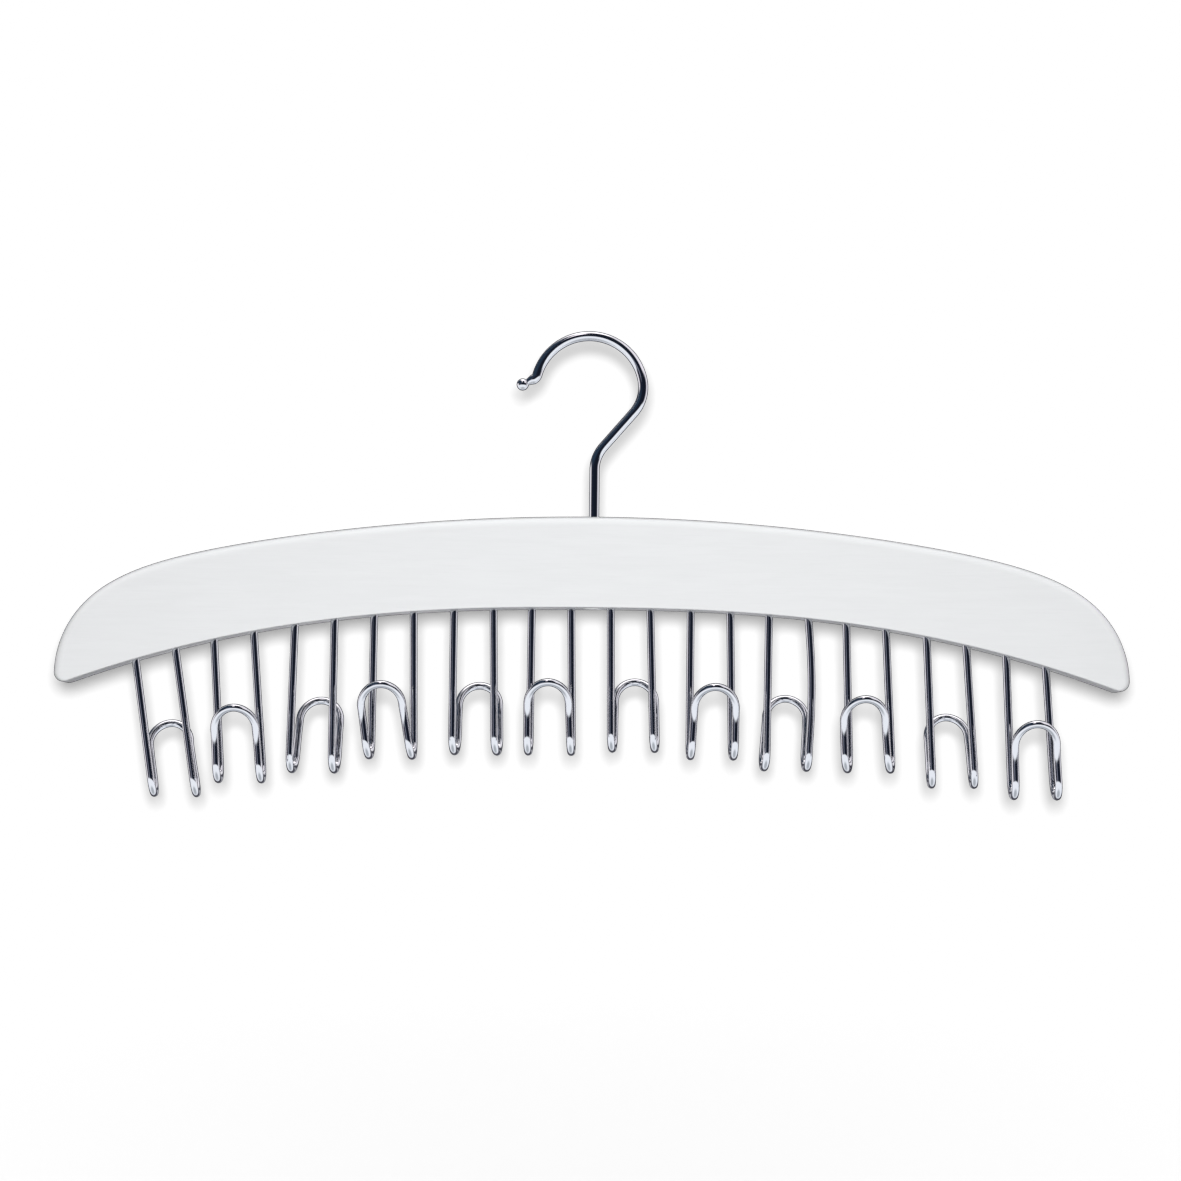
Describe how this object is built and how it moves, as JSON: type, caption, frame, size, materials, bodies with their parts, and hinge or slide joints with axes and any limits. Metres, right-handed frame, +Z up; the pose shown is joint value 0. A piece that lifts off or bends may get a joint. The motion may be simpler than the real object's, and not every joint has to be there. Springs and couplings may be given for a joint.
{
  "type": "belt hanger",
  "caption": "Bow-shaped white wooden bar that hangs from a swivelling wire hook and carries a row of double wire hooks along its lower edge for hanging belts.",
  "frame": {"origin": "inside top of the rail hook's arch, where it rests on the rail", "axes": "+X to the right along the bar as seen from the front, +Y towards the back, +Z up"},
  "size_m": [0.441, 0.0434, 0.1948],
  "materials": {
    "white_lacquer": "white satin lacquer",
    "bright_chrome": "polished",
    "zinc_steel": "zinc plated"
  },
  "bodies": {
    "rail_hook": {"swivel_hook": "bright_chrome", "hook_washer": "zinc_steel"},
    "bar": {"wood_bar": "white_lacquer", "belt_hook_01": "bright_chrome", "belt_hook_02": "bright_chrome", "belt_hook_03": "bright_chrome", "belt_hook_04": "bright_chrome", "belt_hook_05": "bright_chrome", "belt_hook_06": "bright_chrome", "belt_hook_07": "bright_chrome", "belt_hook_08": "bright_chrome", "belt_hook_09": "bright_chrome", "belt_hook_10": "bright_chrome", "belt_hook_11": "bright_chrome", "belt_hook_12": "bright_chrome"}
  },
  "joints": [
    {"name": "hook_swivel", "type": "hinge", "parent": "rail_hook", "child": "bar", "pos_m": [0.0025, 0, -0.0741], "axis": [0, 0, 1], "continuous": true}
  ]
}
